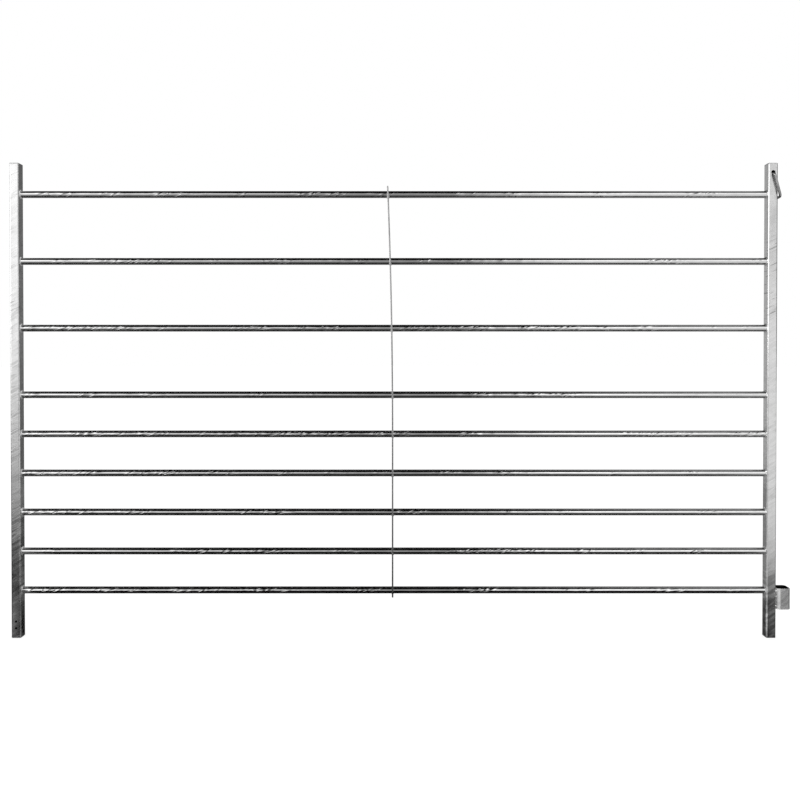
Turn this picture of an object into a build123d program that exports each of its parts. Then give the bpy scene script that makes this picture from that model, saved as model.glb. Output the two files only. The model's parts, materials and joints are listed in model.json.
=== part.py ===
from build123d import *
from math import asin, cos, degrees, radians, sin, sqrt
import os

# Livestock panel gate: a welded, hot-dip galvanised steel hurdle. Two square posts carry nine
# round rails, spaced closer near the ground, and a flat stay ties the rails at mid length.
# A sleeve low on the right post takes the left post of the next panel, and a ring through the
# top of the right post swings over that post and locks it.
# The origin is the centre of the left post's foot. +X runs along the rails, +Y to the back.

# Posts: square tube, closed at both ends by a plate
GATE_LENGTH = 3000.0        # over the outer faces of the posts
GATE_HEIGHT = 1860.0
POST_SIZE = 38.0
POST_WALL = 3.0
POST_CORNER = 6.0
CAP_THICKNESS = 5.0
CAP_ROUNDING = 2.5
RAIL_VENT = 12.0            # zinc passage from each rail into the post, hidden by the rail
DRAIN = 9.0                 # drain holes in the left post's front wall
DRAIN_HEIGHTS = (39.0, 65.0)

# Rails: round tube, butt welded between the posts
RAIL_DIAMETER = 26.9
RAIL_WALL = 2.3
LOWEST_RAIL = 184.0         # height of the lowest rail's axis
LOWER_PITCH = 154.0
LOWER_GAPS = 5
UPPER_PITCH = 262.0
UPPER_GAPS = 3

# Stay: flat bar on edge, punched so that the rails pass through it. Thin bar takes a slight
# bow in the zinc bath: it stands straight up to BOW_START and leans towards -X above it.
STAY_THICKNESS = 6.0
STAY_DEPTH = 40.0
STAY_OFFSET = -4.0          # from mid length
STAY_OVERHANG_LOW = 24.0    # under the axis of the first rail
STAY_OVERHANG_HIGH = 30.0   # over the axis of the last rail
STAY_HOLE_CLEARANCE = 0.2
BOW_START = 780.0
BOW_RADIUS = 25500.0

# Sleeve: strap bent to a rectangular loop, open at both ends, on the right post's outer face
SLEEVE_LENGTH = 55.0        # along the rails
SLEEVE_DEPTH = 50.0
SLEEVE_WALL = 4.0
SLEEVE_CORNER = 13.0
SLEEVE_HEIGHT = 82.0
SLEEVE_TOP = 196.0

# Locking ring: round bar bent to a closed loop, hung in a hole through the right post
RING_ROD = 10.0
RING_LENGTH = 96.0          # between the axes of its two cross bars
RING_WIDTH = 54.0           # between the axes of its two legs
RING_BEND = 10.0            # bend radius on the bar's axis
RING_HOLE = 17.0
RING_HOLE_INSET = 37.0      # below the top of the gate
RING_SAG = 3.0              # the bar's axis hangs this far under the hole's axis
RING_GAP = 0.3              # left between the hanging ring and the post

# Weld beads
RAIL_WELD = 4.0
STAY_WELD = 3.5
STAY_WELD_TOP = 6.0         # a stay bead wraps the rail from this depth under its axis
SLEEVE_WELD_RADIUS = 5.0
WELD_ROOT = 4.0             # how far a blank bead reaches behind its face before it is cut
HAIRLINE = 0.02             # gap that keeps touching round faces apart

POST_HALF = POST_SIZE / 2
RAIL_RADIUS = RAIL_DIAMETER / 2
RIGHT_POST_X = GATE_LENGTH - POST_SIZE
RIGHT_FACE_X = RIGHT_POST_X + POST_HALF
SLEEVE_X = RIGHT_FACE_X + SLEEVE_LENGTH / 2
RAIL_LENGTH = GATE_LENGTH - 2 * POST_SIZE
POST_LENGTH = GATE_HEIGHT - 2 * CAP_THICKNESS
LOWER_HEIGHTS = [LOWEST_RAIL + LOWER_PITCH * i for i in range(LOWER_GAPS + 1)]
UPPER_HEIGHTS = [LOWER_HEIGHTS[-1] + UPPER_PITCH * (i + 1) for i in range(UPPER_GAPS)]
RAIL_HEIGHTS = LOWER_HEIGHTS + UPPER_HEIGHTS

STAY_X = RIGHT_POST_X / 2 + STAY_OFFSET
STAY_BOTTOM = RAIL_HEIGHTS[0] - STAY_OVERHANG_LOW
STAY_TOP = RAIL_HEIGHTS[-1] + STAY_OVERHANG_HIGH

# The ring hangs with its lower cross bar against the post's outer face, off the vertical.
RING_RADIUS = RING_ROD / 2
RING_HOLE_Z = GATE_HEIGHT - RING_HOLE_INSET
RING_PIVOT_Z = RING_HOLE_Z - RING_SAG
RING_LEAN = asin((POST_HALF + RING_RADIUS + RING_GAP) / RING_LENGTH)


def side_plane(x, side):
    """Upright plane at x that looks towards side, its local y along +Z."""
    return Plane(origin=(x, 0, 0), x_dir=(0, side, 0), z_dir=(side, 0, 0))


def front_plane(x):
    """Plane on a post's front face that looks to the front, its local y along +Z."""
    return Plane(origin=(x, -POST_HALF, 0), x_dir=(1, 0, 0), z_dir=(0, -1, 0))


def post(x, inner_side, hole_diameter, hole_heights, hole_depth, name):
    """Square tube with round holes drilled from the front.

    A zinc passage behind each rail leaves towards inner_side.
    """
    bore_size = POST_SIZE - 2 * POST_WALL
    with BuildPart() as tube:
        with BuildSketch(Plane(origin=(x, 0, CAP_THICKNESS))):
            RectangleRounded(POST_SIZE, POST_SIZE, POST_CORNER)
            RectangleRounded(
                bore_size, bore_size, POST_CORNER - POST_WALL, mode=Mode.SUBTRACT
            )
        extrude(amount=POST_LENGTH)
        with BuildSketch(side_plane(x + inner_side * POST_HALF, inner_side)):
            with Locations(*[(0, height) for height in RAIL_HEIGHTS]):
                Circle(RAIL_VENT / 2)
        extrude(amount=-POST_HALF, mode=Mode.SUBTRACT)
        with BuildSketch(front_plane(x)):
            with Locations(*[(0, height) for height in hole_heights]):
                Circle(hole_diameter / 2)
        extrude(amount=-hole_depth, mode=Mode.SUBTRACT)
    tube.part.label = name
    return tube.part


def post_blank(x):
    """A post's outer shape as a solid bar, for cutting beads to it."""
    with BuildPart() as bar:
        with BuildSketch(Plane(origin=(x, 0, 0))):
            RectangleRounded(POST_SIZE, POST_SIZE, POST_CORNER)
        extrude(amount=GATE_HEIGHT)
    return bar.part


def end_cap(x, z, outer_end, name):
    """Plate that closes a post's end. outer_end picks the face whose edge is rounded."""
    with BuildPart() as cap:
        with BuildSketch(Plane(origin=(x, 0, z))):
            RectangleRounded(POST_SIZE, POST_SIZE, POST_CORNER)
        extrude(amount=CAP_THICKNESS)
        outer_face = cap.faces().sort_by(Axis.Z)[outer_end]
        fillet(outer_face.edges(), CAP_ROUNDING)
    cap.part.label = name
    return cap.part


def rail(height, name):
    """Round tube from post to post."""
    with BuildPart() as tube:
        with BuildSketch(Plane(origin=(POST_HALF, 0, height), z_dir=(1, 0, 0))):
            Circle(RAIL_RADIUS)
            Circle(RAIL_RADIUS - RAIL_WALL, mode=Mode.SUBTRACT)
        extrude(amount=RAIL_LENGTH)
    tube.part.label = name
    return tube.part


def ring_bead(face_x, side, height, leg, blank):
    """Fillet bead round a rail on the side of blank that faces side, at face_x."""
    root = face_x - side * WELD_ROOT
    inner = height + RAIL_RADIUS + HAIRLINE
    outer = height + RAIL_RADIUS + leg
    with BuildPart() as bead:
        with BuildSketch(Plane.XZ):
            with BuildLine():
                Polyline(
                    (root, inner),
                    (face_x + side * leg, inner),
                    (face_x, outer),
                    (root, outer),
                    close=True,
                )
            make_face()
        revolve(axis=Axis((0, 0, height), (1, 0, 0)))
        add(blank, mode=Mode.SUBTRACT)
    return bead.part


def under_bead(face_x, side, height, blank):
    """The part of a ring bead that lies under the rail."""
    whole = ring_bead(face_x, side, height, STAY_WELD, blank)
    with BuildPart() as bead:
        add(whole)
        split(bisect_by=Plane.XY.offset(height - STAY_WELD_TOP), keep=Keep.BOTTOM)
    return bead.part


def stay_x(height):
    """X of the stay's mid plane at a height."""
    rise = max(0.0, height - BOW_START)
    return STAY_X - BOW_RADIUS + sqrt(BOW_RADIUS**2 - rise**2)


def stay_blank():
    """The stay before punching: straight below BOW_START, bent to a wide arc above it."""
    centre = (STAY_X - BOW_RADIUS, BOW_START)
    sweep_angle = degrees(asin((STAY_TOP - BOW_START) / BOW_RADIUS))
    inner_radius = BOW_RADIUS - STAY_THICKNESS / 2
    outer_radius = BOW_RADIUS + STAY_THICKNESS / 2
    with BuildPart() as bar:
        with BuildSketch(Plane.XZ):
            with BuildLine():
                inner_arc = CenterArc(centre, inner_radius, 0, sweep_angle)
                outer_arc = CenterArc(centre, outer_radius, 0, sweep_angle)
                Line(inner_arc @ 1, outer_arc @ 1)
                Polyline(
                    inner_arc @ 0,
                    (STAY_X - STAY_THICKNESS / 2, STAY_BOTTOM),
                    (STAY_X + STAY_THICKNESS / 2, STAY_BOTTOM),
                    outer_arc @ 0,
                )
            make_face()
        extrude(amount=STAY_DEPTH / 2, both=True)
    return bar.part


def centre_stay(blank):
    """The stay with a punched hole for each rail."""
    with BuildPart() as stay:
        add(blank)
        with BuildSketch(side_plane(STAY_X - STAY_DEPTH, 1)):
            with Locations(*[(0, height) for height in RAIL_HEIGHTS]):
                Circle(RAIL_RADIUS + STAY_HOLE_CLEARANCE)
        extrude(amount=2 * STAY_DEPTH, mode=Mode.SUBTRACT)
    stay.part.label = "centre_stay"
    return stay.part


def coupling_sleeve():
    """Socket for the next panel's left post."""
    bore_length = SLEEVE_LENGTH - 2 * SLEEVE_WALL
    bore_depth = SLEEVE_DEPTH - 2 * SLEEVE_WALL
    with BuildPart() as sleeve:
        with BuildSketch(Plane(origin=(SLEEVE_X, 0, SLEEVE_TOP - SLEEVE_HEIGHT))):
            RectangleRounded(SLEEVE_LENGTH, SLEEVE_DEPTH, SLEEVE_CORNER)
            RectangleRounded(
                bore_length, bore_depth, SLEEVE_CORNER - SLEEVE_WALL, mode=Mode.SUBTRACT
            )
        extrude(amount=SLEEVE_HEIGHT)
    sleeve.part.label = "coupling_sleeve"
    return sleeve.part


def sleeve_bead(side, blank):
    """Upright bead that fills the groove between the sleeve and the post."""
    base_z = SLEEVE_TOP - SLEEVE_HEIGHT
    with BuildPart() as bead:
        with BuildSketch(Plane(origin=(RIGHT_FACE_X, side * POST_HALF, base_z))):
            Circle(SLEEVE_WELD_RADIUS)
        extrude(amount=SLEEVE_HEIGHT)
        add(blank, mode=Mode.SUBTRACT)
        with BuildSketch(Plane(origin=(SLEEVE_X, 0, base_z))):
            RectangleRounded(SLEEVE_LENGTH, SLEEVE_DEPTH, SLEEVE_CORNER)
        extrude(amount=SLEEVE_HEIGHT, mode=Mode.SUBTRACT)
    return bead.part


def locking_ring():
    """Closed loop of round bar: the front half, then its mirror image."""
    half_width = RING_WIDTH / 2
    hanging = Plane(
        origin=(RIGHT_POST_X, 0, RING_PIVOT_Z),
        x_dir=(0, -1, 0),
        z_dir=(-cos(RING_LEAN), 0, -sin(RING_LEAN)),
    )
    with BuildPart() as ring:
        with BuildLine(hanging) as path:
            upper_bar = Line((0, 0), (half_width - RING_BEND, 0))
            upper_bend = JernArc(upper_bar @ 1, (1, 0), RING_BEND, -90)
            leg = Line(upper_bend @ 1, (half_width, RING_BEND - RING_LENGTH))
            lower_bend = JernArc(leg @ 1, (0, -1), RING_BEND, -90)
            Line(lower_bend @ 1, (0, -RING_LENGTH))
        with BuildSketch(Plane(origin=path.line @ 0, z_dir=path.line % 0)):
            Circle(RING_RADIUS)
        sweep()
        mirror(about=Plane.XZ)
    ring.part.label = "locking_ring"
    return ring.part


def group(solids, name):
    """One node made of separate solids."""
    return Compound(label=name, children=solids)


os.makedirs("parts", exist_ok=True)

left_blank = post_blank(0.0)
right_blank = post_blank(RIGHT_POST_X)
flat_blank = stay_blank()

nodes = [
    post(0.0, 1, DRAIN, DRAIN_HEIGHTS, POST_HALF, "left_post"),
    post(RIGHT_POST_X, -1, RING_HOLE, (RING_HOLE_Z,), POST_SIZE, "right_post"),
    end_cap(0.0, POST_LENGTH + CAP_THICKNESS, -1, "left_top_cap"),
    end_cap(0.0, 0.0, 0, "left_foot_cap"),
    end_cap(RIGHT_POST_X, POST_LENGTH + CAP_THICKNESS, -1, "right_top_cap"),
    end_cap(RIGHT_POST_X, 0.0, 0, "right_foot_cap"),
    centre_stay(flat_blank),
    coupling_sleeve(),
    locking_ring(),
    group(
        [ring_bead(POST_HALF, 1, height, RAIL_WELD, left_blank) for height in RAIL_HEIGHTS],
        "left_rail_welds",
    ),
    group(
        [
            ring_bead(RIGHT_POST_X - POST_HALF, -1, height, RAIL_WELD, right_blank)
            for height in RAIL_HEIGHTS
        ],
        "right_rail_welds",
    ),
    group(
        [
            under_bead(stay_x(height) + side * STAY_THICKNESS / 2, side, height, flat_blank)
            for height in RAIL_HEIGHTS
            for side in (-1, 1)
        ],
        "stay_welds",
    ),
    group([sleeve_bead(side, right_blank) for side in (-1, 1)], "sleeve_welds"),
]
for number, rail_height in enumerate(RAIL_HEIGHTS, start=1):
    nodes.append(rail(rail_height, f"rail_{number}"))

for node in nodes:
    export_step(node, f"parts/{node.label}.step")
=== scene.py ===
import json
import math
import random

import bmesh
import bpy
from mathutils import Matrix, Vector, noise


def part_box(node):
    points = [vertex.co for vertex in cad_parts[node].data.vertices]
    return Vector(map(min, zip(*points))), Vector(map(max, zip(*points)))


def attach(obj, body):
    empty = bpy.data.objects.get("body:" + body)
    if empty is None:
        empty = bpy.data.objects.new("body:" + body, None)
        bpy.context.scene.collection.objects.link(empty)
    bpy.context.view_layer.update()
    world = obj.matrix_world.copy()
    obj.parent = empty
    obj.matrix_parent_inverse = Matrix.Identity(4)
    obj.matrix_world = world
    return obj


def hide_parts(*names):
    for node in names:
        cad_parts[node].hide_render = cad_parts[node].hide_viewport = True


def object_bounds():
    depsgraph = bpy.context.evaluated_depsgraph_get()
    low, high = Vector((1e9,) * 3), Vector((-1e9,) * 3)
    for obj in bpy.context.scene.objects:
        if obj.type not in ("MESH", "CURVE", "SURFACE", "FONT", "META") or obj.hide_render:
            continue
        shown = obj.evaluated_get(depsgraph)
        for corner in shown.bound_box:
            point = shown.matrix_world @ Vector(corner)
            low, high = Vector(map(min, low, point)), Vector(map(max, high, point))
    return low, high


# Everything is in metres in the row frame: +X along the rails, +Y to the back, +Z up.
MM = 0.001

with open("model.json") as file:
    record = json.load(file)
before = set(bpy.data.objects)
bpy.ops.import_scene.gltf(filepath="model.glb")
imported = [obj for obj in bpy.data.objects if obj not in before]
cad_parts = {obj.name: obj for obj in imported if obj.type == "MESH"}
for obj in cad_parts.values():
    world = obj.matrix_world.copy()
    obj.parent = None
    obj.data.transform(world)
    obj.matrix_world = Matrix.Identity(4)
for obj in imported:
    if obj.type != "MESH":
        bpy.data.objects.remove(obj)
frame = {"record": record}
cad_low, cad_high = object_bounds()
random.seed(7)

scene = bpy.context.scene
joint = frame["record"]["behaviour"]["joints"][0]
PIVOT = Vector(joint["pos_m"])

# Stock sections of the gate
POST_CORNER = 6.0 * MM
POST_WALL = 3.0 * MM
CAP_ROUNDING = 2.5 * MM
RAIL_WALL = 2.3 * MM
STAY_THICKNESS = 6.0 * MM
SLEEVE_CORNER = 13.0 * MM
SLEEVE_WALL = 4.0 * MM
RING_ROD = 10.0 * MM
RING_BEND = 10.0 * MM
RING_HOLE = 17.0 * MM
RING_SAG = 3.0 * MM
DRAIN = 9.0 * MM
DRAIN_HEIGHTS = (39.0 * MM, 65.0 * MM)

SKIN = 0.001 * MM     # keeps rounding errors from pushing a tube past its CAD box
RAIL_NODES = [f"rail_{number}" for number in range(1, 10)]


def middle(node):
    low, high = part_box(node)
    return (low + high) / 2


def size_of(node):
    low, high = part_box(node)
    return high - low


# ---------------------------------------------------------------- node helpers
def new_node(tree, kind, **settings):
    node = tree.nodes.new(kind)
    for key, value in settings.items():
        setattr(node, key, value)
    return node


def feed(tree, socket, value):
    """Links an output socket to socket, or sets a constant on it."""
    if isinstance(value, bpy.types.NodeSocket):
        tree.links.new(value, socket)
    else:
        socket.default_value = value


def maths(tree, operation, first, second=0.0):
    node = new_node(tree, "ShaderNodeMath", operation=operation)
    feed(tree, node.inputs[0], first)
    feed(tree, node.inputs[1], second)
    return node.outputs[0]


def plus(tree, first, second):
    return maths(tree, "ADD", first, second)


def minus(tree, first, second):
    return maths(tree, "SUBTRACT", first, second)


def times(tree, first, *others):
    for other in others:
        first = maths(tree, "MULTIPLY", first, other)
    return first


def unsigned(tree, value):
    return maths(tree, "ABSOLUTE", value)


def split(tree, vector):
    parts = new_node(tree, "ShaderNodeSeparateXYZ")
    feed(tree, parts.inputs[0], vector)
    return parts.outputs


def grey(tree, value):
    """Colour with the same value in all its channels."""
    colour = new_node(tree, "ShaderNodeCombineColor")
    for channel in ("Red", "Green", "Blue"):
        feed(tree, colour.inputs[channel], value)
    return colour.outputs["Color"]


def remap(tree, value, from_low, from_high, to_low, to_high, smooth=False):
    node = new_node(tree, "ShaderNodeMapRange", clamp=True)
    if smooth:
        node.interpolation_type = "SMOOTHSTEP"
    feed(tree, node.inputs["Value"], value)
    node.inputs["From Min"].default_value = from_low
    node.inputs["From Max"].default_value = from_high
    feed(tree, node.inputs["To Min"], to_low)
    feed(tree, node.inputs["To Max"], to_high)
    return node.outputs["Result"]


def blend_values(tree, factor, first, second):
    node = new_node(tree, "ShaderNodeMix", data_type="FLOAT")
    feed(tree, node.inputs["Factor"], factor)
    feed(tree, node.inputs["A"], first)
    feed(tree, node.inputs["B"], second)
    return node.outputs["Result"]


def fractal(tree, coordinates, scale, detail=3.0, roughness=0.5, distortion=0.0):
    node = new_node(tree, "ShaderNodeTexNoise")
    feed(tree, node.inputs["Vector"], coordinates)
    node.inputs["Scale"].default_value = scale
    node.inputs["Detail"].default_value = detail
    node.inputs["Roughness"].default_value = roughness
    node.inputs["Distortion"].default_value = distortion
    return node.outputs["Fac"]


def stretched(tree, coordinates, tilt, scale):
    """Turns the coordinates about Y by tilt, then scales them along their own axes."""
    turn = new_node(tree, "ShaderNodeMapping")
    feed(tree, turn.inputs["Vector"], coordinates)
    turn.inputs["Rotation"].default_value = (0.0, tilt, 0.0)
    stretch = new_node(tree, "ShaderNodeMapping")
    feed(tree, stretch.inputs["Vector"], turn.outputs["Vector"])
    stretch.inputs["Scale"].default_value = scale
    return stretch.outputs["Vector"]


# ---------------------------------------------------------------- materials
GATE_MIDDLE = (middle("left_post").x + middle("right_post").x) / 2

# Slanting marks: how steeply they rise to the right, and how fine they are along, through and across
POST_RUNS = (math.radians(32.0), (16.0, 24.0, 105.0))
RAIL_RUNS = (math.radians(16.0), (11.0, 25.0, 80.0))
SCRATCHES = (math.radians(26.0), (15.0, 15.0, 150.0))
STAIN_FINENESS = (7.0, 7.0, 46.0)

# Noise scales, per metre
PATCHES = 4.6
SCUFF_PATCHES = 9.0
CLOUDS = 21.0
SWELLS = 21.0
CRYSTALS = 95.0
GRAIN = 420.0

CALMER_TO_RIGHT = 0.04     # how much the run marks thin out per metre
STAIN_LEAN = 0.075         # metres that the stained zone drops per metre to the right
STAIN_FOOT = (0.06, 0.20)  # heights between which the stains reach their full depth
STAIN_TOP = (0.52, 0.38)   # heights where the stains end and where they start to fade
STAIN_RUNS = 0.45          # share of the run marks in the stains' pattern
SCUFF_FADE = 0.05          # metres over which the scratched zone fades in and out
HIGHLIGHT_TOP = (1.3, 0.7)      # heights where the painted corner highlight ends and where it is full
HIGHLIGHT_LEFT_TO_RIGHT = (0.30, 0.95)      # how strong the painted corner highlight is at either end of the gate
FULL_METAL_CORNER = (-0.70, -0.90)           # shares of the half size between which the corners turn fully metallic
INSIDE_PAINTED_SHADE = 0.06        # how dark the painted shade inside a tube is, against 1 outside
WALL_BLEND = 1.0 * MM      # half the width over which the inside turns into the outside

# Parts of the relief. A ridge follows the middle value of the run marks' noise.
RIDGE_HALF_WIDTH = 0.07
RIDGE_HEIGHT = 0.20
SWELL_HEIGHT = 0.35
GRAIN_HEIGHT = 0.012


def crystal_values(tree, place):
    """Random value for each crystal of the zinc."""
    cells = new_node(tree, "ShaderNodeTexVoronoi", feature="F1")
    feed(tree, cells.inputs["Vector"], place)
    cells.inputs["Scale"].default_value = CRYSTALS
    channels = new_node(tree, "ShaderNodeSeparateColor")
    feed(tree, channels.inputs["Color"], cells.outputs["Color"])
    return channels.outputs[0]


def stain_shade(tree, place, tilt, runs, depth):
    """Shade of the coarse slanting bands near the ground."""
    across, _, height = split(tree, place)
    bands = fractal(tree, stretched(tree, place, tilt, STAIN_FINENESS), 1.0, 2.0, 0.45)
    bands = blend_values(tree, STAIN_RUNS, bands, runs)
    band_shade = remap(tree, bands, 0.43, 0.58, 1.0 - depth * 0.85, 1.0 + depth * 0.75)
    level = plus(tree, height, times(tree, across, STAIN_LEAN))
    near_ground = times(
        tree,
        remap(tree, level, *STAIN_FOOT, 0.35, 1.0),
        remap(tree, level, *STAIN_TOP, 0.0, 1.0),
    )
    return blend_values(tree, near_ground, 1.0, band_shade)


def scuff_shade(tree, place, low, high):
    """Shade of the thin dark scratches between two heights."""
    _, _, height = split(tree, place)
    scratches = fractal(tree, stretched(tree, place, *SCRATCHES), 1.0, 1.0, 0.5, 0.2)
    zone = times(
        tree,
        remap(tree, height, low - SCUFF_FADE, low + SCUFF_FADE, 0.0, 1.0),
        remap(tree, height, high + SCUFF_FADE, high - SCUFF_FADE, 0.0, 1.0),
        remap(tree, fractal(tree, place, SCUFF_PATCHES, 1.0), 0.42, 0.58, 0.15, 1.0),
    )
    depth = times(tree, zone, remap(tree, scratches, 0.58, 0.68, 0.0, -0.5))
    return plus(tree, depth, 1.0)


def beyond(tree, value, limit):
    """How far value, on either side of zero, lies past limit."""
    return maths(tree, "MAXIMUM", minus(tree, unsigned(tree, value), limit), 0.0)


def painted_inside_shade(tree, place, centre_x, core_x, core_y, mid_radius):
    """Painted shade that darkens the inside of a rounded tube, where little light gets in.

    core_x and core_y are its half sizes less the corner, mid_radius is the corner's radius in the
    middle of the wall.
    """
    across, through, _ = split(tree, place)
    past_x = beyond(tree, minus(tree, across, centre_x), core_x)
    past_y = beyond(tree, through, core_y)
    past = maths(tree, "SQRT", plus(tree, times(tree, past_x, past_x), times(tree, past_y, past_y)))
    return remap(tree, past, mid_radius - WALL_BLEND, mid_radius + WALL_BLEND, INSIDE_PAINTED_SHADE, 1.0)


def corner_highlight_metal(tree, place, metal, distance, half_x, half_y, highlight_metal, highlight_start, highlight_full):
    """Metallic share of a tube whose corners that face the gate's middle carry a painted highlight.

    There less metal lets the soft light make them paler. distance is how far the tube is from that
    middle, half_x and half_y are its half sizes. Going outwards, the painted highlight starts and is
    full at the given shares of them. The other corners are fully metallic.
    """
    across, through, height = split(tree, place)
    from_middle = unsigned(tree, minus(tree, across, GATE_MIDDLE))
    share_x = maths(tree, "DIVIDE", minus(tree, distance, from_middle), half_x)
    share_y = maths(tree, "DIVIDE", unsigned(tree, through), half_y)
    corner = times(
        tree,
        remap(tree, maths(tree, "MINIMUM", share_x, share_y), highlight_start, highlight_full, 0.0, 1.0),
        remap(tree, height, *HIGHLIGHT_TOP, 0.0, 1.0),
        remap(tree, across, 0.0, 2 * GATE_MIDDLE, *HIGHLIGHT_LEFT_TO_RIGHT),
    )
    full_metal = remap(tree, share_x, *FULL_METAL_CORNER, metal, 1.0)
    return blend_values(tree, corner, full_metal, highlight_metal)


def relief(tree, place, runs, marked, depth):
    """Normal of a surface with ridged run marks, slow swells and a fine grain."""
    off_ridge = unsigned(tree, minus(tree, runs, 0.5))
    ridges = remap(tree, off_ridge, 0.0, RIDGE_HALF_WIDTH, RIDGE_HEIGHT, 0.0, smooth=True)
    run_height = times(tree, plus(tree, runs, ridges), marked)
    swells = fractal(tree, place, SWELLS, 1.0, 0.5)
    grain = fractal(tree, place, GRAIN, 2.0, 0.6)
    rest_height = plus(tree, times(tree, swells, SWELL_HEIGHT), times(tree, grain, GRAIN_HEIGHT))
    bump = new_node(tree, "ShaderNodeBump")
    bump.inputs["Strength"].default_value = 1.0
    bump.inputs["Distance"].default_value = depth
    feed(tree, bump.inputs["Height"], plus(tree, run_height, rest_height))
    return bump.outputs["Normal"]


def zinc(name, tone, gloss, streak, mottle, relief_depth, run_marks=POST_RUNS, metal=1.0,
         low_stain=0.0, scuffs=None, corner_highlights=None, painted_dark_inside=None):
    """Hot-dip zinc: slanting run marks in patches, clouds, faint spangle and a fine grain.

    low_stain is the depth of the stains near the ground, scuffs the pair of heights between which
    scratches lie. The last two give the painted highlight on the corners and the painted shade inside a
    tube.
    Each remap of a noise turns the window between two of its values into the range of an effect.
    """
    material = bpy.data.materials.new(name)
    material.use_nodes = True
    tree = material.node_tree
    shader = tree.nodes["Principled BSDF"]
    place = new_node(tree, "ShaderNodeTexCoord").outputs["Object"]
    across, _, _ = split(tree, place)

    tilt, fineness = run_marks
    runs = fractal(tree, stretched(tree, place, tilt, fineness), 1.0, 1.0, 0.5, 0.3)
    calm = times(tree, minus(tree, across, GATE_MIDDLE / 2), CALMER_TO_RIGHT)
    patches = minus(tree, fractal(tree, place, PATCHES, 2.0, 0.5), calm)
    marked = remap(tree, patches, 0.45, 0.58, 0.05, 1.0, smooth=True)
    clouds = fractal(tree, place, CLOUDS, 4.0, 0.6)

    run_depth = times(tree, blend_values(tree, marked, 0.7, 1.8), -streak)
    run_shade = plus(tree, 1.0 + streak * 0.35, remap(tree, runs, 0.33, 0.60, run_depth, 0.0))
    cloud_shade = remap(tree, clouds, 0.3, 0.7, 1.0 - mottle, 1.0 + mottle * 0.4)
    crystal_shade = remap(tree, crystal_values(tree, place), 0.0, 1.0, 0.965, 1.02)
    shade = times(tree, run_shade, cloud_shade, crystal_shade)
    if low_stain:
        shade = times(tree, shade, stain_shade(tree, place, tilt, runs, low_stain))
    if scuffs:
        shade = times(tree, shade, scuff_shade(tree, place, *scuffs))
    # painted shade inside the tube, where little light gets in
    if painted_dark_inside:
        shade = times(tree, shade, painted_inside_shade(tree, place, **painted_dark_inside))
    feed(tree, shader.inputs["Base Color"], grey(tree, times(tree, shade, tone)))

    dull = remap(tree, clouds, 0.35, 0.7, gloss - 0.03, gloss + 0.05)
    run_gloss = remap(tree, runs, 0.35, 0.65, 0.02, -0.02)
    feed(tree, shader.inputs["Roughness"], plus(tree, dull, run_gloss))
    # painted highlight: the corners are made less metallic so the soft light shows them paler
    if corner_highlights:
        metal = corner_highlight_metal(tree, place, metal, **corner_highlights)
    feed(tree, shader.inputs["Metallic"], metal)
    feed(tree, shader.inputs["Normal"], relief(tree, place, runs, marked, relief_depth))
    return material


post_size = size_of("left_post")
# Where the posts' painted corner highlight lies
POST_CORNERS = {
    "distance": GATE_MIDDLE,
    "half_x": post_size.x / 2,
    "half_y": post_size.y / 2,
    "highlight_metal": 0.45,
    "highlight_start": 0.66,
    "highlight_full": 0.84,
}

sleeve_low, sleeve_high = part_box("coupling_sleeve")
sleeve_x = (sleeve_low.x + sleeve_high.x) / 2
sleeve_half_x = (sleeve_high.x - sleeve_low.x) / 2
sleeve_half_y = (sleeve_high.y - sleeve_low.y) / 2
# Where the sleeve's painted corner highlight lies
SLEEVE_CORNERS = {
    "distance": sleeve_x - GATE_MIDDLE,
    "half_x": sleeve_half_x,
    "half_y": sleeve_half_y,
    "highlight_metal": 0.30,
    "highlight_start": 0.42,
    "highlight_full": 0.60,
}
# Where the painted shade inside the sleeve lies
SLEEVE_MID_WALL = {
    "centre_x": sleeve_x,
    "core_x": sleeve_half_x - SLEEVE_CORNER,
    "core_y": sleeve_half_y - SLEEVE_CORNER,
    "mid_radius": SLEEVE_CORNER - SLEEVE_WALL / 2,
}

# Tone, roughness, streak depth, mottle depth and relief for each slot
MATERIALS = {
    "galvanised_post": zinc(
        "zinc_post", 0.80, 0.18, 0.12, 0.04, 0.40 * MM, low_stain=0.45, scuffs=(1.22, 1.56),
        corner_highlights=POST_CORNERS,
    ),
    "galvanised_rail": zinc("zinc_rail", 0.82, 0.08, 0.05, 0.06, 2.0 * MM, run_marks=RAIL_RUNS),
    "galvanised_stay": zinc("zinc_stay", 0.60, 0.22, 0.10, 0.12, 0.6 * MM),
    # The sleeve's tone, paler than the posts', is partly painted light: it stands in for light falling
    # on it.
    "galvanised_sleeve": zinc(
        "zinc_sleeve_painted_light", 0.95, 0.24, 0.42, 0.16, 1.4 * MM, metal=0.86, corner_highlights=SLEEVE_CORNERS,
        painted_dark_inside=SLEEVE_MID_WALL,
    ),
    # The ring's dark tone, far below the other zinc's, is painted shade: a darker copy of the zinc.
    "galvanised_ring": zinc("zinc_ring_painted_shade", 0.42, 0.14, 0.08, 0.10, 0.5 * MM),
    "galvanised_cap": zinc("zinc_cap", 0.66, 0.26, 0.08, 0.12, 0.4 * MM),
    "galvanised_weld": zinc("zinc_weld", 0.86, 0.15, 0.05, 0.12, 1.4 * MM, metal=0.75),
}


# ---------------------------------------------------------------- mesh helpers
HARD_EDGE = math.radians(40.0)
HOLE_STEPS = 40
RAIL_STEPS = 48
CAP_STEPS = 5


def link(name, mesh, material_name):
    obj = bpy.data.objects.new(name, mesh)
    scene.collection.objects.link(obj)
    mesh.materials.append(MATERIALS[material_name])
    return obj


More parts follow.
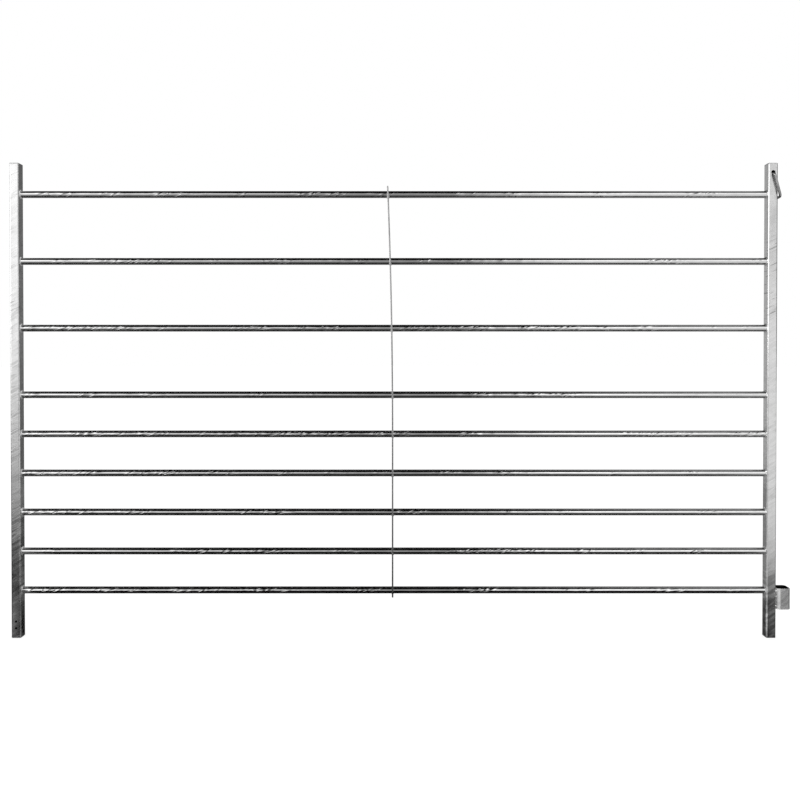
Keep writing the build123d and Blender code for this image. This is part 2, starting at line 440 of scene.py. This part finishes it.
def finish_piece(obj, node, body="frame", flat_faces=True):
    """Shades the piece smooth but for hard edges, and puts it in the place of its CAD node."""
    mesh = obj.data
    for polygon in mesh.polygons:
        polygon.use_smooth = True
    mesh.set_sharp_from_angle(angle=HARD_EDGE)
    if flat_faces:
        weighted = obj.modifiers.new("weighted_normals", "WEIGHTED_NORMAL")
        weighted.keep_sharp = True
    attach(obj, body)
    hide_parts(node)
    return obj


def mesh_from_rings(name, rings, wrap_rings, slot):
    """Skins closed rings of points.

    With wrap_rings the last ring is joined to the first, otherwise both ends are capped.
    """
    bm = bmesh.new()
    rows = [[bm.verts.new(point) for point in ring] for ring in rings]
    count = len(rows[0])
    pairs = list(zip(rows, rows[1:]))
    if wrap_rings:
        pairs.append((rows[-1], rows[0]))
    for lower, upper in pairs:
        for i in range(count):
            j = (i + 1) % count
            bm.faces.new((lower[i], lower[j], upper[j], upper[i]))
    if not wrap_rings:
        bm.faces.new(list(reversed(rows[0])))
        bm.faces.new(rows[-1])
    bmesh.ops.recalc_face_normals(bm, faces=bm.faces)
    mesh = bpy.data.meshes.new(name)
    bm.to_mesh(mesh)
    bm.free()
    return link(name, mesh, slot)


def join_meshes(name, objects):
    """Merges objects into the first of them, which takes the name."""
    bm = bmesh.new()
    for obj in objects:
        bm.from_mesh(obj.data)
    first = objects[0]
    bm.to_mesh(first.data)
    bm.free()
    for obj in objects[1:]:
        mesh = obj.data
        bpy.data.objects.remove(obj)
        bpy.data.meshes.remove(mesh)
    first.name = name
    first.data.name = name
    return first


def rounded_box(size_x, size_y, corner, steps=8):
    """Points round a rectangle with round corners, counter-clockwise, centred on the origin."""
    points = []
    for quarter, (sx, sy) in enumerate(((1, 1), (-1, 1), (-1, -1), (1, -1))):
        centre_x, centre_y = sx * (size_x / 2 - corner), sy * (size_y / 2 - corner)
        for i in range(steps + 1):
            angle = math.pi / 2 * (quarter + i / steps)
            points.append((centre_x + corner * math.cos(angle), centre_y + corner * math.sin(angle)))
    return points


def circle(radius, steps):
    return [
        (radius * math.cos(2 * math.pi * i / steps), radius * math.sin(2 * math.pi * i / steps))
        for i in range(steps)
    ]


def square_tube(name, node, corner, wall, slot, lip):
    """Upright square or rectangular tube with its rims chamfered by lip."""
    low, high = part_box(node)
    centre = (low + high) / 2
    size_x, size_y = high.x - low.x - 2 * SKIN, high.y - low.y - 2 * SKIN

    def outline_at(depth):
        return rounded_box(size_x - 2 * depth, size_y - 2 * depth, corner - depth)

    outer, outer_lip = outline_at(0.0), outline_at(lip)
    inner_lip, inner = outline_at(wall - lip), outline_at(wall)
    levels = (
        (outer, low.z + lip),
        (outer, high.z - lip),
        (outer_lip, high.z),
        (inner_lip, high.z),
        (inner, high.z - lip),
        (inner, low.z + lip),
        (inner_lip, low.z),
        (outer_lip, low.z),
    )
    rings = [[(centre.x + x, centre.y + y, z) for x, y in outline] for outline, z in levels]
    return mesh_from_rings(name, rings, True, slot)


def drill(obj, cutters, slot):
    """Cuts straight round holes. Each cutter is (centre, direction, radius, half length)."""
    blanks = []
    for centre, direction, radius, half_length in cutters:
        turn = Vector(direction).to_track_quat("Z", "Y").to_matrix()
        rings = [
            [
                Vector(centre) + turn @ Vector((x, y, side * half_length))
                for x, y in circle(radius, HOLE_STEPS)
            ]
            for side in (-1, 1)
        ]
        blanks.append(mesh_from_rings("cutter", rings, False, slot))
    cutter = join_meshes("cutter", blanks)
    modifier = obj.modifiers.new("cut", "BOOLEAN")
    modifier.operation = "DIFFERENCE"
    modifier.solver = "EXACT"
    modifier.object = cutter
    bpy.context.view_layer.update()
    evaluated = obj.evaluated_get(bpy.context.evaluated_depsgraph_get())
    cut_mesh = bpy.data.meshes.new_from_object(evaluated)
    obj.modifiers.remove(modifier)
    obj.data = cut_mesh
    spare = cutter.data
    bpy.data.objects.remove(cutter)
    bpy.data.meshes.remove(spare)
    return obj


# ---------------------------------------------------------------- posts, caps and sleeve
POST_LIP = 0.15 * MM
SLEEVE_LIP = 1.2 * MM


def make_post(node, cutters):
    post = square_tube(node + "_tube", node, POST_CORNER, POST_WALL, "galvanised_post", POST_LIP)
    drill(post, cutters, "galvanised_post")
    return finish_piece(post, node)


left_post_x = middle("left_post").x
right_post_x = middle("right_post").x
POST_HALF = size_of("left_post").y / 2
rail_heights = [middle(node).z for node in RAIL_NODES]

make_post(
    "left_post",
    [
        ((left_post_x, -POST_HALF, height), (0, 1, 0), DRAIN / 2, POST_WALL * 1.5)
        for height in DRAIN_HEIGHTS
    ],
)
make_post(
    "right_post",
    [((right_post_x, 0, PIVOT.z + RING_SAG), (0, 1, 0), RING_HOLE / 2, POST_HALF * 1.2)],
)


def make_cap(node, up):
    """End plate with its outer edge rounded. up is 1 for a top cap and -1 for a foot."""
    low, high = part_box(node)
    centre = (low + high) / 2
    outer_z, inner_z = (high.z, low.z) if up > 0 else (low.z, high.z)
    size = high.y - low.y
    rings = [[(x, y, inner_z) for x, y in rounded_box(size, size, POST_CORNER)]]
    for i in range(CAP_STEPS + 1):
        angle = math.pi / 2 * i / CAP_STEPS
        inset = CAP_ROUNDING * (1 - math.cos(angle))
        z = outer_z - up * CAP_ROUNDING * (1 - math.sin(angle))
        plan = rounded_box(size - 2 * inset, size - 2 * inset, POST_CORNER - inset)
        rings.append([(x, y, z) for x, y in plan])
    rings = [[(centre.x + x, centre.y + y, z) for x, y, z in ring] for ring in rings]
    cap = mesh_from_rings(node + "_plate", rings, False, "galvanised_cap")
    return finish_piece(cap, node)


for cap_node, cap_up in (
    ("left_top_cap", 1),
    ("right_top_cap", 1),
    ("left_foot_cap", -1),
    ("right_foot_cap", -1),
):
    make_cap(cap_node, cap_up)


def make_sleeve():
    sleeve = square_tube(
        "coupling_sleeve_tube", "coupling_sleeve", SLEEVE_CORNER, SLEEVE_WALL, "galvanised_sleeve",
        SLEEVE_LIP,
    )
    return finish_piece(sleeve, "coupling_sleeve")


make_sleeve()


# ---------------------------------------------------------------- rails
def make_rail(node):
    low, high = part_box(node)
    centre = (low + high) / 2
    radius = (high.z - low.z) / 2
    outer = circle(radius, RAIL_STEPS)
    inner = circle(radius - RAIL_WALL, RAIL_STEPS)
    levels = ((outer, low.x), (outer, high.x), (inner, high.x), (inner, low.x))
    rings = [[(x, centre.y + y, centre.z + z) for y, z in outline] for outline, x in levels]
    rail = mesh_from_rings(node + "_tube", rings, True, "galvanised_rail")
    return finish_piece(rail, node)


RAIL_RADIUS = size_of("rail_1").z / 2
for rail_node in RAIL_NODES:
    make_rail(rail_node)


# ---------------------------------------------------------------- stay
stay_low, stay_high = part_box("centre_stay")
STAY_EDGE = 1.2 * MM      # rounding of its long edges
STAY_STEPS = 54
STAY_HOLE_CLEARANCE = 0.2 * MM
BOW_START = 0.78          # height where the bow starts
BOW_RADIUS = 25.5
stay_right = stay_high.x - STAY_THICKNESS / 2     # mid plane of the straight lower part


def stay_x(height):
    rise = max(0.0, height - BOW_START)
    return stay_right - BOW_RADIUS + math.sqrt(BOW_RADIUS**2 - rise**2)


def make_stay():
    """Bowed flat bar with softly rounded long edges and a hole for each rail."""
    depth = stay_high.y - stay_low.y
    outline = rounded_box(STAY_THICKNESS, depth, STAY_EDGE, steps=3)
    rings = []
    for i in range(STAY_STEPS + 1):
        z = stay_low.z + (stay_high.z - stay_low.z) * i / STAY_STEPS
        rings.append([(stay_x(z) + x, y, z) for x, y in outline])
    stay = mesh_from_rings("centre_stay_bar", rings, False, "galvanised_stay")
    drill(
        stay,
        [
            ((stay_x(height), 0, height), (1, 0, 0), RAIL_RADIUS + STAY_HOLE_CLEARANCE, STAY_THICKNESS)
            for height in rail_heights
        ],
        "galvanised_stay",
    )
    return finish_piece(stay, "centre_stay")


make_stay()


# ---------------------------------------------------------------- weld beads
RAIL_WELD = 4.2 * MM
STAY_WELD = 3.6 * MM
SLEEVE_WELD_RADIUS = 5.0 * MM
SLEEVE_WELD_END = 2.0 * MM     # kept clear at each end of the CAD bead
BEAD_WOBBLE = 0.45             # share by which a fillet's legs vary
RIPPLE = 0.10
RIPPLES_PER_TURN = 15
BEAD_BULGE = 0.32
BLOB_PITCH = 13.0 * MM
FACE_SINK = 0.6 * MM           # how far a fillet reaches into the face it is welded to
RAIL_SINK = 0.5 * MM           # and into the rail
FILLET_EDGE = 0.2 * MM         # overhang of its foot and its toe
SLEEVE_BEAD_STEPS = 24


def wobble(seed, turn, amount):
    """Smooth random value round 1 that repeats after a full turn."""
    spot = Vector((math.cos(turn) * 1.6 + seed * 3.7, math.sin(turn) * 1.6, seed * 1.3))
    return 1.0 + amount * noise.noise(spot)


def fillet_bead(name, face_at, side, height, leg, start, sweep, seed):
    """Rippled fillet bead round a rail. face_at(y, z) is the x of the surface it is welded to.

    start and sweep give the stretch of the turn that it covers, in radians from straight down.
    """
    full = sweep >= 2 * math.pi - 1e-6
    steps = 96 if full else 44
    rings = []
    for i in range(steps if full else steps + 1):
        share = i / steps
        turn = start + sweep * share
        taper = 1.0 if full else max(0.08, math.sin(math.pi * share) ** 0.45)
        ripple = 1.0 + RIPPLE * math.sin(turn * RIPPLES_PER_TURN + seed)
        up_leg = leg * taper * wobble(seed, turn, BEAD_WOBBLE) * ripple
        along_leg = leg * taper * wobble(seed + 9.0, turn, BEAD_WOBBLE) * ripple
        across, down = math.sin(turn), -math.cos(turn)
        foot_radius = RAIL_RADIUS + up_leg
        foot_x = face_at(foot_radius * across, height + foot_radius * down)
        root_x = face_at(RAIL_RADIUS * across, height + RAIL_RADIUS * down)
        toe_x = root_x + side * along_leg
        section = bead_section(side, foot_x, root_x, toe_x, up_leg, along_leg)
        rings.append([(x, radius * across, height + radius * down) for x, radius in section])
    return mesh_from_rings(name, rings, full, "galvanised_weld")


def bead_section(side, foot_x, root_x, toe_x, up_leg, along_leg):
    """Points (x, radius) round a fillet: foot on the welded face, toe on the rail, root between."""
    arc_steps = 6
    section = [(foot_x - side * FACE_SINK, RAIL_RADIUS + up_leg - FILLET_EDGE)]
    for k in range(arc_steps + 1):
        angle = math.pi / 2 * k / arc_steps
        bulge = BEAD_BULGE * math.sin(2 * angle)
        x = foot_x + (toe_x - foot_x) * (1 - math.cos(angle)) * (1 - bulge * 0.2)
        radius = RAIL_RADIUS + up_leg * (1 - math.sin(angle)) * (1 + bulge)
        section.append((x + side * along_leg * bulge * 0.35, radius))
    section.append((toe_x - side * FILLET_EDGE, RAIL_RADIUS - RAIL_SINK))
    section.append((root_x - side * FACE_SINK, RAIL_RADIUS - RAIL_SINK))
    return section


def post_face(post_x, side):
    """Function of (y, z) for the x of a post's inner face, round corners included."""
    flat = POST_HALF - POST_CORNER

    def face_at(y, z):
        past = min(max(abs(y) - flat, 0.0), POST_CORNER * 0.999)
        recess = POST_CORNER - math.sqrt(POST_CORNER**2 - past**2)
        return post_x + side * (POST_HALF - recess)

    return face_at


def stay_face(side):
    return lambda y, z: stay_x(z) + side * STAY_THICKNESS / 2


def finish_welds(beads, node):
    return finish_piece(join_meshes(node + "_beads", beads), node, flat_faces=False)


def make_rail_welds(node, post_x, side):
    """A full ring of bead at the end of each rail."""
    face_at = post_face(post_x, side)
    beads = []
    for number, height in enumerate(rail_heights):
        seed = number * 2.3 + post_x
        beads.append(
            fillet_bead(f"{node}_{number}", face_at, side, height, RAIL_WELD, 0.0, 2 * math.pi, seed)
        )
    return finish_welds(beads, node)


make_rail_welds("left_rail_welds", left_post_x, 1)
make_rail_welds("right_rail_welds", right_post_x, -1)


def make_stay_welds():
    """A short bead under each rail on both faces of the stay."""
    beads = []
    for number, height in enumerate(rail_heights):
        for side in (-1, 1):
            half_sweep = math.radians(random.uniform(48.0, 66.0))
            name, seed = f"stay_weld_{number}_{side}", number * 1.7 + side
            beads.append(
                fillet_bead(
                    name, stay_face(side), side, height, STAY_WELD, -half_sweep, 2 * half_sweep, seed
                )
            )
    return finish_welds(beads, "stay_welds")


make_stay_welds()


def upright_bead(name, x, y, low_z, high_z, radius, seed):
    """Stack of fused uneven blobs in the groove between the sleeve and the post."""
    steps = 72
    rings = []
    for i in range(steps + 1):
        share = i / steps
        z = low_z + (high_z - low_z) * share
        ends = min(1.0, math.sin(math.pi * min(max(share, 0.004), 0.996)) * 5.0) ** 0.5
        drift = 0.35 * BLOB_PITCH * noise.noise(Vector((z * 45, seed, 8)))
        blob = 0.95 + 0.07 * abs(math.sin(math.pi * (z - low_z + drift) / BLOB_PITCH))
        shift = 0.9 * MM * noise.noise(Vector((seed, z * 60, 0)))
        grown = radius * ends * blob * (1.0 + 0.22 * noise.noise(Vector((z * 70, seed, 3))))
        rings.append([(x + shift + px, y + py, z) for px, py in circle(grown, SLEEVE_BEAD_STEPS)])
    return mesh_from_rings(name, rings, False, "galvanised_weld")


def make_sleeve_welds():
    low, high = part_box("sleeve_welds")
    beads = []
    for side in (-1, 1):
        y = side * (high.y - SLEEVE_WELD_RADIUS)
        low_z, high_z = low.z + SLEEVE_WELD_END, high.z - SLEEVE_WELD_END
        beads.append(
            upright_bead(
                f"sleeve_weld_{side}", sleeve_low.x, y, low_z, high_z, SLEEVE_WELD_RADIUS, side * 4.1
            )
        )
    return finish_welds(beads, "sleeve_welds")


make_sleeve_welds()


# ---------------------------------------------------------------- locking ring
RING_STEPS = 28
RING_BEND_STEPS = 10


def make_ring():
    """Round bar swept along a rounded rectangle in the ring's hanging plane."""
    low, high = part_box("locking_ring")
    radius = RING_ROD / 2
    half_width = (high.y - low.y) / 2 - radius
    tip = Vector((high.x - radius, 0, 0))
    run = tip.x - PIVOT.x
    drop = PIVOT.z - (low.z + radius)
    along = Vector((run, 0, -drop)).normalized()
    length = math.hypot(run, drop)
    across = Vector((0, 1, 0))
    normal = along.cross(across)
    path = []
    corners = ((1, length), (-1, length), (-1, 0.0), (1, 0.0))
    for corner, (side, distance) in enumerate(corners):
        centre_u = side * (half_width - RING_BEND)
        centre_v = distance - RING_BEND if distance > 0 else RING_BEND
        bend_centre = PIVOT + across * centre_u + along * centre_v
        for i in range(RING_BEND_STEPS + 1):
            angle = math.pi / 2 * (corner + i / RING_BEND_STEPS)
            outward = across * math.cos(angle) + along * math.sin(angle)
            path.append((bend_centre + outward * RING_BEND, outward))
    rings = [
        [centre + outward * x + normal * y for x, y in circle(radius, RING_STEPS)]
        for centre, outward in path
    ]
    ring = mesh_from_rings("locking_ring_bar", rings, True, "galvanised_ring")
    return finish_piece(ring, "locking_ring", body="ring", flat_faces=False)


make_ring()


# ---------------------------------------------------------------- floor
CAMERA_X, CAMERA_Y, CAMERA_Z = 1.4910, -2.9746, 1.1053
FLOOR_HALF = 40.0
FLOOR_GLOW = 0.78          # the eye sees a floor with this glow
FLOOR_TONE = 0.30          # and this matt tone
REFLECTIONS_CROSS = 3.0    # how far behind the gate the views mirrored in the two posts cross

# How bright polished zinc mirrors the floor: stops of (metres from the gate, brightness)
FLOOR_LEFT = (
    (0.0, 0.10), (0.15, 0.14), (0.38, 0.28), (0.6, 0.03), (0.95, 0.03), (1.6, 0.13), (2.8, 0.36),
    (5.0, 0.52), (9.0, 0.62), (20.0, 0.72),
)
FLOOR_CENTRE = ((0.0, 0.0), (0.5, 0.01), (1.2, 0.10), (3.0, 0.20), (9.0, 0.27))
FLOOR_RIGHT = (
    (0.0, 0.0), (0.15, 0.0), (0.38, 0.02), (0.75, 0.11), (1.3, 0.50), (2.5, 0.76), (8.0, 0.80),
)
FLOOR_RIGHT_POST = (
    (0.0, 0.07), (0.15, 0.09), (0.38, 0.12), (0.75, 0.20), (1.3, 0.64), (2.5, 0.76), (8.0, 0.80),
)
FLOOR_BEHIND_BRIGHT = (
    (0.0, 0.05), (0.35, 0.05), (0.6, 0.24), (1.5, 0.20), (2.7, 0.28), (4.7, 0.38), (9.0, 0.42),
)
FLOOR_BEHIND_DIM = (
    (0.0, 0.0), (0.2, 0.0), (0.4, 0.05), (0.76, 0.10), (1.4, 0.03), (2.7, 0.08), (9.0, 0.12),
)

# Mirrored in the gate's plane, the floor in front spreads from the camera like a fan. A place in the
# fan is metres to the right of the camera per metre of distance. The posts stand at its two edges.
FAN_MIDDLE = -0.0043
FAN_POSTS = (0.4955, 0.4895)
FAN_BEYOND_LEFT = (-0.52, -0.54)
UNDER_RAILS = (0.90, 0.45)     # metres in front of the gate where its shade ends and is full
GATE_PLANE = (-0.05, 0.05)     # where the floor in front turns into the floor behind


def stepped(tree, value, stops):
    """Piecewise linear function of value through stops of (value, result)."""
    total = None
    for (start, low), (end, high) in zip(stops, stops[1:]):
        piece = remap(tree, value, start, end, 0.0, high - low)
        total = piece if total is None else plus(tree, total, piece)
    return plus(tree, total, stops[0][1])


def across_stations(tree, value, stations):
    """Blends the results at a row of stations of (value, result) along value."""
    result = stations[0][1]
    for (start, _), (end, following) in zip(stations, stations[1:]):
        result = blend_values(tree, remap(tree, value, start, end, 0.0, 1.0), result, following)
    return result


def mirrored_floor(tree, place):
    """Brightness of each place of the floor as polished zinc mirrors it."""
    x, y, _ = split(tree, place)
    reach = unsigned(tree, y)
    fan = maths(tree, "DIVIDE", minus(tree, x, CAMERA_X), plus(tree, reach, -CAMERA_Y))
    left = stepped(tree, reach, FLOOR_LEFT)
    centre = stepped(tree, reach, FLOOR_CENTRE)
    right = stepped(tree, reach, FLOOR_RIGHT)
    right_post = stepped(tree, reach, FLOOR_RIGHT_POST)
    stations = (
        (-0.44, left), (-0.14, centre), (0.08, centre), (0.26, right), (0.47, right), (0.49, right_post),
    )
    ahead = across_stations(tree, fan, stations)

    middle_x = (cad_low.x + cad_high.x) / 2
    crossing = times(tree, minus(tree, x, middle_x), minus(tree, REFLECTIONS_CROSS, y))
    behind = blend_values(
        tree,
        remap(tree, crossing, -0.3, 0.3, 0.0, 1.0),
        stepped(tree, reach, FLOOR_BEHIND_DIM),
        stepped(tree, reach, FLOOR_BEHIND_BRIGHT),
    )
    open_floor = blend_values(tree, remap(tree, y, *GATE_PLANE, 0.0, 1.0), ahead, behind)

    from_middle = unsigned(tree, minus(tree, fan, FAN_MIDDLE))
    between_posts = remap(tree, from_middle, *FAN_POSTS, 0.0, 1.0)
    beyond_left = remap(tree, fan, *FAN_BEYOND_LEFT, 0.0, 1.0)
    in_shade = times(
        tree,
        maths(tree, "MAXIMUM", between_posts, beyond_left),
        remap(tree, reach, *UNDER_RAILS, 0.0, 1.0),
        remap(tree, y, *reversed(GATE_PLANE), 0.0, 1.0),
    )
    return blend_values(tree, in_shade, open_floor, 0.0)


def floor_material():
    """Pale to the eye. Polished zinc mirrors it darker near the gate, where the gate shades it."""
    material = bpy.data.materials.new("floor_pale")
    material.use_nodes = True
    tree = material.node_tree
    tree.nodes.clear()
    place = new_node(tree, "ShaderNodeTexCoord").outputs["Object"]
    mirrored_in_zinc = new_node(tree, "ShaderNodeLightPath").outputs["Is Glossy Ray"]
    glow = new_node(tree, "ShaderNodeEmission")
    glow.inputs["Color"].default_value = (1.0, 1.0, 1.0, 1.0)
    strength = blend_values(tree, mirrored_in_zinc, FLOOR_GLOW, mirrored_floor(tree, place))
    feed(tree, glow.inputs["Strength"], strength)
    matt = new_node(tree, "ShaderNodeBsdfDiffuse")
    feed(tree, matt.inputs["Color"], grey(tree, blend_values(tree, mirrored_in_zinc, FLOOR_TONE, 0.0)))
    both = new_node(tree, "ShaderNodeAddShader")
    feed(tree, both.inputs[0], matt.outputs[0])
    feed(tree, both.inputs[1], glow.outputs[0])
    output = new_node(tree, "ShaderNodeOutputMaterial")
    feed(tree, output.inputs["Surface"], both.outputs[0])
    return material


def make_floor():
    middle_x = (cad_low.x + cad_high.x) / 2
    left, right = middle_x - FLOOR_HALF, middle_x + FLOOR_HALF
    front, back = -FLOOR_HALF, 2 * FLOOR_HALF
    bm = bmesh.new()
    corners = ((left, front), (right, front), (right, back), (left, back))
    bm.faces.new([bm.verts.new((x, y, cad_low.z)) for x, y in corners])
    mesh = bpy.data.meshes.new("floor")
    bm.to_mesh(mesh)
    bm.free()
    mesh.materials.append(floor_material())
    floor = bpy.data.objects.new("floor", mesh)
    scene.collection.objects.link(floor)
    floor.visible_diffuse = False


make_floor()


# ---------------------------------------------------------------- light
# What the zinc mirrors of the studio in front of the gate and above it, from the far left to the far
# right: stops of (climb, brightness). The climb of a direction is in degrees, 0 to the front, 90
# overhead and 180 to the back.
AHEAD_FAR_LEFT = (
    (-3.0, 0.72), (2.0, 1.15), (15.0, 1.20), (22.0, 2.0), (30.0, 1.10), (42.0, 0.26), (54.0, 0.06),
    (66.0, 0.0),
)
AHEAD_LEFT = ((-4.0, 0.52), (0.0, 0.75), (18.0, 0.98), (32.0, 0.14), (46.0, 0.0))
AHEAD_CENTRE = ((-4.0, 0.30), (4.0, 0.40), (16.0, 0.42), (31.0, 0.05), (46.0, 0.0))
AHEAD_RIGHT = (
    (-4.0, 0.95), (4.0, 1.20), (22.0, 1.85), (34.0, 0.46), (44.0, 0.03), (62.0, 0.0), (80.0, 0.02),
    (95.0, 0.04), (115.0, 0.05), (130.0, 0.30), (145.0, 0.35),
)
AHEAD_FAR_RIGHT = (
    (-4.0, 0.84), (4.0, 0.84), (14.0, 0.52), (20.0, 1.60), (34.0, 0.95), (48.0, 0.30), (60.0, 0.12),
    (77.0, 0.22), (95.0, 0.26), (115.0, 0.18), (130.0, 0.35), (145.0, 0.42),
)
SIDE_LEFT = ((-14.0, 0.4), (-3.0, 1.2), (3.0, 2.6), (30.0, 2.6), (44.0, 0.3), (60.0, 0.16), (90.0, 0.05))

# The same for the right side and for the back: stops of (upward part of the direction, brightness)
SIDE_RIGHT = ((-0.2, 0.05), (0.0, 0.12), (0.25, 0.16), (0.4, 1.0), (0.65, 1.0), (0.8, 0.1))
BACK_LEFT = ((-0.2, 0.24), (-0.1, 0.40), (0.1, 0.46), (0.3, 0.36), (0.6, 0.04), (0.8, 0.0))
BACK_RIGHT = ((-0.1, 0.12), (0.0, 0.18), (0.1, 0.15), (0.2, 0.13), (0.5, 0.03), (0.8, 0.0))

SOFT_LIGHT = 0.95      # even light on matt surfaces
BACKDROP = 1.0         # what the eye sees


def mirrored_studio(tree, direction):
    """Brightness of each direction of the studio as polished zinc mirrors it."""
    x, y, z = split(tree, direction)
    angle = maths(tree, "ARCTAN2", z, times(tree, y, -1.0))
    climb = times(tree, angle, 180.0 / math.pi)
    left, centre, right = (
        stepped(tree, climb, stops) for stops in (AHEAD_LEFT, AHEAD_CENTRE, AHEAD_RIGHT)
    )
    stations = (
        (-0.42, stepped(tree, climb, AHEAD_FAR_LEFT)),
        (-0.30, left),
        (-0.14, left),
        (-0.03, centre),
        (0.07, centre),
        (0.22, right),
        (0.40, stepped(tree, climb, AHEAD_FAR_RIGHT)),
    )
    ahead = across_stations(tree, x, stations)
    side_left = stepped(tree, climb, SIDE_LEFT)
    side_right = stepped(tree, z, SIDE_RIGHT)
    ahead = blend_values(tree, remap(tree, x, -0.55, -0.75, 0.0, 1.0), ahead, side_left)
    ahead = blend_values(tree, remap(tree, x, 0.55, 0.8, 0.0, 1.0), ahead, side_right)
    back_left, back_right = stepped(tree, z, BACK_LEFT), stepped(tree, z, BACK_RIGHT)
    back = blend_values(tree, remap(tree, x, -0.3, 0.3, 0.0, 1.0), back_left, back_right)
    low_back = times(
        tree,
        remap(tree, y, -0.1, 0.3, 0.0, 1.0, smooth=True),
        remap(tree, z, 0.55, 0.25, 0.0, 1.0, smooth=True),
    )
    return blend_values(tree, low_back, ahead, back)


def make_world():
    """Soft studio light, pale to the eye and with bright and dark areas in the zinc."""
    world = bpy.data.worlds.new("studio")
    scene.world = world
    world.use_nodes = True
    tree = world.node_tree
    tree.nodes.clear()
    direction = new_node(tree, "ShaderNodeTexCoord").outputs["Generated"]
    rays = new_node(tree, "ShaderNodeLightPath").outputs
    lit = blend_values(tree, rays["Is Glossy Ray"], SOFT_LIGHT, mirrored_studio(tree, direction))
    background = new_node(tree, "ShaderNodeBackground")
    background.inputs["Color"].default_value = (1.0, 1.0, 1.0, 1.0)
    feed(tree, background.inputs["Strength"], blend_values(tree, rays["Is Camera Ray"], lit, BACKDROP))
    output = new_node(tree, "ShaderNodeOutputWorld")
    feed(tree, output.inputs["Surface"], background.outputs[0])


make_world()


# ---------------------------------------------------------------- camera
SENSOR_WIDTH = 36.0     # camera millimetres, like the lens
LENS = 34.03
LENS_SHIFT = (0.0048, -0.0451)
LOOKS_DOWN = math.radians(0.575)


def make_camera():
    data = bpy.data.cameras.new("camera")
    data.sensor_width = SENSOR_WIDTH
    data.lens = LENS
    data.shift_x, data.shift_y = LENS_SHIFT
    data.clip_start = 0.05
    data.clip_end = 200.0
    camera = bpy.data.objects.new("camera", data)
    camera.location = (CAMERA_X, CAMERA_Y, CAMERA_Z)
    camera.rotation_euler = (math.pi / 2 - LOOKS_DOWN, 0.0, 0.0)
    scene.collection.objects.link(camera)
    scene.camera = camera


make_camera()

scene.view_settings.view_transform = "Standard"
scene.view_settings.look = "None"
